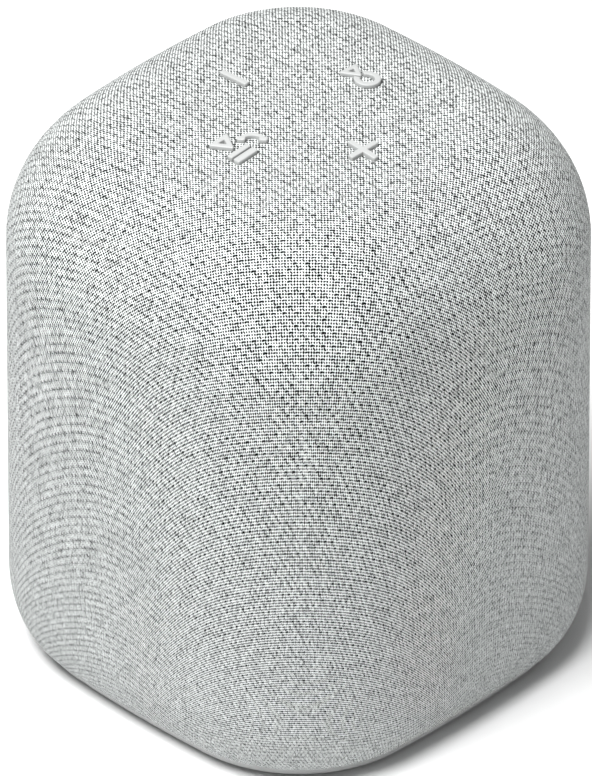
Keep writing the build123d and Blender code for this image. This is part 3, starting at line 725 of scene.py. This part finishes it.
# the weave repeats every four yarns across, and every two along with a step of two across
OPENINGS = (ROUND, SLANT, ROUND, ROUND, DASH, ROUND, ROUND, ROUND)
OPENING_DEPTH = (1.15, 2.25)   # from the shallowest, and how much more; above 1, the middle is black
OPENING_EDGE = 1.4             # how sharply it ends
UNEVEN = (0.65, 0.9)           # how much tighter than drawn an opening is, from the least, and how much more
HEM_FROM, HEM_SHADE_TOP, HEM_SHADE = 0.1, 1.1, 0.25     # the hem sits in the groove above the base's rim; its lowest millimetre is darkened as painted shade
WANDER, WANDER_SCALE = 0.25, 0.35     # how far yarns stray from their line, in pitches, and how quickly
# painted shade: the near-black stands for the gaps and for the shade on the yarns beside them
GAP_SHADE_COLOUR = (0.004, 0.005, 0.0048)
YARN_COLOUR = (0.915, 0.95, 0.94)


def opening(g, u, v, column, row):
    """How dark the opening of one cell of the weave is at a point, with painted shade on the yarns around it
    included.
    """
    pair = (row * 0.5).floor()
    # four cells of the even row, then four of the odd one, as a share of the table, at each entry's middle
    place = ((column - pair * 2) * 0.25).fract() * 0.5 + (row - pair * 2) * 0.5 + 0.5 / len(OPENINGS)
    wide, high, lean = g.lookup(place, [(w, h, (t + 1) / 2) for w, h, t in OPENINGS])
    dy = v - row
    dx = u - column - dy * (lean * 2 - 1)
    dx, dy = g.math("DIVIDE", dx, wide), g.math("DIVIDE", dy, high)
    uneven = g.random(g.vector(column, row, 3.0)) * UNEVEN[1] + UNEVEN[0]
    reach = g.math("POWER", dx * dx + dy * dy, OPENING_EDGE) * uneven
    depth = g.random(g.vector(column, row)) * OPENING_DEPTH[1] + OPENING_DEPTH[0]
    return g.math("EXPONENT", reach * -1) * depth


def cover_material():
    """The weave: pale yarns of two families, with a dark opening in every cell between them, partly the gap
    and partly painted shade on the yarns beside it.
    """
    g = Graph("cover_weave")
    u, v, height = g.attribute("cloth")
    stray_u = (g.noise(g.vector(u, v), WANDER_SCALE) - 0.5) * WANDER
    stray_v = (g.noise(g.vector(v, u, 7.0), WANDER_SCALE) - 0.5) * WANDER
    u, v = u + stray_u, v + stray_v
    column, row = (u - 0.5).floor(), (v - 0.5).floor()
    dark = opening(g, u, v, column, row)
    for right, up in ((1, 0), (0, 1), (1, 1)):
        dark = dark + opening(g, u, v, column + right, row + up)
    yarn = (1 - dark).max(0.0)
    # each yarn has its own tone, and its twisted fibres catch the light
    warp_tone = g.random(g.vector(u.floor(), (v * 0.25).floor()))
    tone = warp_tone + g.random(g.vector(v.floor(), (u * 0.25).floor(), 5.0))
    twist = (u * 5.0 + v * 9.0).sin()
    fibre = g.noise(g.vector(u, v), 5.0, 3.0, 0.7)
    # painted shade of the groove at the hem: the cloth's colour darkens towards its lower edge
    hem_shade = g.ramp(height, HEM_Z + HEM_FROM, HEM_Z + HEM_SHADE_TOP, HEM_SHADE, 1.0)
    shade = yarn * (0.9 + tone * 0.05) * (0.93 + fibre * 0.14) * (0.98 + twist * 0.02) * hem_shade
    colour = g.blend(shade, GAP_SHADE_COLOUR, YARN_COLOUR)
    g.bump(yarn * 0.8 + fibre * 0.12 + twist * 0.04, 0.0002, 0.5)
    return g.finish(colour, 0.85, Sheen_Weight=0.05, Sheen_Roughness=0.5, Specular_IOR_Level=0.15)


def moulded(name, colour, roughness, grain=2200.0, depth=0.00003, spread=0.03):
    """Moulded plastic or rubber: a fine grain and a slight drift of tone."""
    g = Graph(name)
    where = g.position()
    fine = g.noise(where, grain, 3.0)
    drift = g.noise(where, 45.0, 2.0)
    dark = tuple(c * (1 - spread) for c in colour)
    pale = tuple(min(1.0, c * (1 + spread)) for c in colour)
    g.bump(fine, depth, 0.5)
    return g.finish(g.blend(drift, dark, pale), g.ramp(fine, 0.3, 0.7, roughness - 0.05, roughness + 0.05))


def woven_sheet(name, colour, scale, roughness=0.9):
    """Pressed pulp, cloth or wadding: tangled fibres."""
    g = Graph(name)
    where = g.position()
    fibres = g.noise(where, scale, 6.0, 0.75)
    clumps = g.noise(where, scale / 9, 3.0)
    share = g.ramp(fibres * 0.7 + clumps * 0.3, 0.3, 0.7)
    g.bump(fibres, 0.0003, 0.8)
    return g.finish(g.blend(share, tuple(c * 0.6 for c in colour), colour), roughness)


def metal(name, colour, roughness, scale=900.0):
    """Plated or cut metal, with faint scratches and spots of wear."""
    g = Graph(name)
    where = g.position()
    fine = g.noise(where, scale, 4.0)
    spots = g.noise(where, scale / 12, 2.0)
    g.bump(fine, 0.00002, 0.4)
    blend = g.blend(g.ramp(spots, 0.35, 0.65), tuple(c * 0.82 for c in colour), colour)
    return g.finish(blend, g.ramp(fine, 0.3, 0.7, roughness - 0.08, roughness + 0.08), Metallic=1.0)


def board_material():
    """Solder mask over copper tracks: ruled lines and pads a shade lighter than the board."""
    g = Graph("circuit_board")
    where = g.position()
    parts = g.new("ShaderNodeSeparateXYZ")
    g.put(parts.inputs[0], where)
    x, y, z = (Value(g, out) for out in parts.outputs)
    cell = g.random(g.vector((x * 420).floor(), (y * 420).floor(), (z * 420).floor()))
    lane = (x * 1400 + (z + y) * 1400 * cell.above(0.5)).fract()
    track = g.ramp(lane, 0.35, 0.45) * g.ramp(cell, 0.25, 0.35)
    g.bump(track, 0.00003, 0.6)
    return g.finish(g.blend(track, (0.008, 0.075, 0.035), (0.02, 0.17, 0.085)), 0.35)


def winding_material():
    """Fine enamelled wire wound side by side, with painted shade: each turn is lighter at its crown and
    darker in the groove beside the next.
    """
    g = Graph("copper")
    parts = g.new("ShaderNodeSeparateXYZ")
    g.put(parts.inputs[0], g.position())
    turns = (Value(g, parts.outputs[1]) * 22000).sin() * 0.5 + 0.5
    g.bump(turns, 0.00005, 0.8)
    # painted shade and highlight: the colour follows each turn's curve, dark in the grooves and bright on the
    # crowns
    return g.finish(g.blend(turns, (0.30, 0.09, 0.03), (0.75, 0.33, 0.15)), 0.3, Metallic=0.9)


MATERIALS = {
    "case_plastic": moulded("case_plastic", (0.64, 0.65, 0.645), 0.45),
    "button_plastic": moulded("button_plastic", (0.49, 0.50, 0.495), 0.45, 1500.0, 0.00002, 0.015),
    "inner_plastic": moulded("inner_plastic", (0.016, 0.016, 0.017), 0.55),
    "foot_rubber": moulded("foot_rubber", (0.23, 0.235, 0.235), 0.8, 3000.0, 0.00004),
    "black_rubber": moulded("black_rubber", (0.012, 0.012, 0.012), 0.6, 3000.0, 0.00004),
    "cone_paper": woven_sheet("cone_paper", (0.04, 0.04, 0.042), 1400.0),
    "spider_cloth": woven_sheet("spider_cloth", (0.5, 0.3, 0.1), 2200.0),
    "steel": metal("steel", (0.55, 0.56, 0.57), 0.35),
    "magnet_ferrite": woven_sheet("magnet_ferrite", (0.05, 0.05, 0.055), 700.0, 0.6),
    "brass": metal("brass", (0.78, 0.70, 0.52), 0.25),
    "copper": winding_material(),
    "aluminium": metal("aluminium", (0.10, 0.10, 0.105), 0.4),
    "circuit_board": board_material(),
    "component_black": moulded("component_black", (0.02, 0.02, 0.022), 0.35, 1800.0),
    "wadding": woven_sheet("wadding", (0.82, 0.82, 0.8), 260.0, 1.0),
}

for part in frame["record"]["subparts"]:
    name, slot = part["node"], part["material_slot"]
    if name in NODES and slot in MATERIALS:
        node = NODES[name]
        node.data.materials.clear()
        node.data.materials.append(MATERIALS[slot])

# ---------- pieces ----------

cover = fabric_cover()
cover.data.materials.append(cover_material())
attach(cover, "speaker_body")
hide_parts("fabric_cover")

for name in BUTTONS:
    key = button(name)
    key.data.materials.append(MATERIALS["button_plastic"])
    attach(key, f"{name}_button")
    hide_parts(f"{name}_button")

# ---------- floor, light and camera ----------

FLOOR_HALF = 3000
floor_corners = [(x * FLOOR_HALF, y * FLOOR_HALF, 0) for x, y in ((-1, -1), (1, -1), (1, 1), (-1, 1))]
floor = piece("floor", floor_corners, [(0, 1, 2, 3)])
floor.location.z = -0.0002     # just under the foot, so that the two faces don't coincide
white = moulded("floor_paper", (0.93, 0.93, 0.93), 0.9, 60.0, 0.0001, 0.005)
floor.data.materials.append(white)


def soft_light(name, place, size, power, colour=(1.0, 1.0, 1.0)):
    data = bpy.data.lights.new(name, "AREA")
    data.shape = "DISK"
    data.size = size
    data.energy = power
    data.color = colour
    lamp = bpy.data.objects.new(name, data)
    lamp.location = place
    lamp.rotation_mode = "QUATERNION"
    lamp.rotation_quaternion = Vector(place).to_track_quat("Z", "Y")
    bpy.context.scene.collection.objects.link(lamp)
    return lamp


soft_light("key", (0.0, -1.06, 2.8), 1.8, 146.0)

world = bpy.data.worlds.new("studio")
world.use_nodes = True
world.node_tree.nodes["Background"].inputs["Color"].default_value = (1.0, 1.0, 1.0, 1.0)
world.node_tree.nodes["Background"].inputs["Strength"].default_value = 0.22
bpy.context.scene.world = world
bpy.context.scene.view_settings.view_transform = "Standard"

AZIMUTH, ELEVATION = radians(44.54), radians(35.35)
DISTANCE = 6.24
LENS = 1058.7
AIM_HEIGHT = 0.086
AIM_SHIFT = (-0.000684, -0.005113)     # across and up the picture, in metres

right = Vector((cos(AZIMUTH), sin(AZIMUTH), 0.0))
up = Vector((-sin(ELEVATION) * sin(AZIMUTH), sin(ELEVATION) * cos(AZIMUTH), cos(ELEVATION)))
back = right.cross(up)
camera_data = bpy.data.cameras.new("camera")
camera_data.lens = LENS
camera_data.sensor_width = 36.0
camera_data.clip_end = 50.0
camera = bpy.data.objects.new("camera", camera_data)
aim = Vector((0.0, 0.0, AIM_HEIGHT)) + right * AIM_SHIFT[0] + up * AIM_SHIFT[1]
turn = Matrix((right, up, back)).transposed().to_4x4()
camera.matrix_world = Matrix.Translation(aim + back * DISTANCE) @ turn
bpy.context.scene.collection.objects.link(camera)
bpy.context.scene.camera = camera
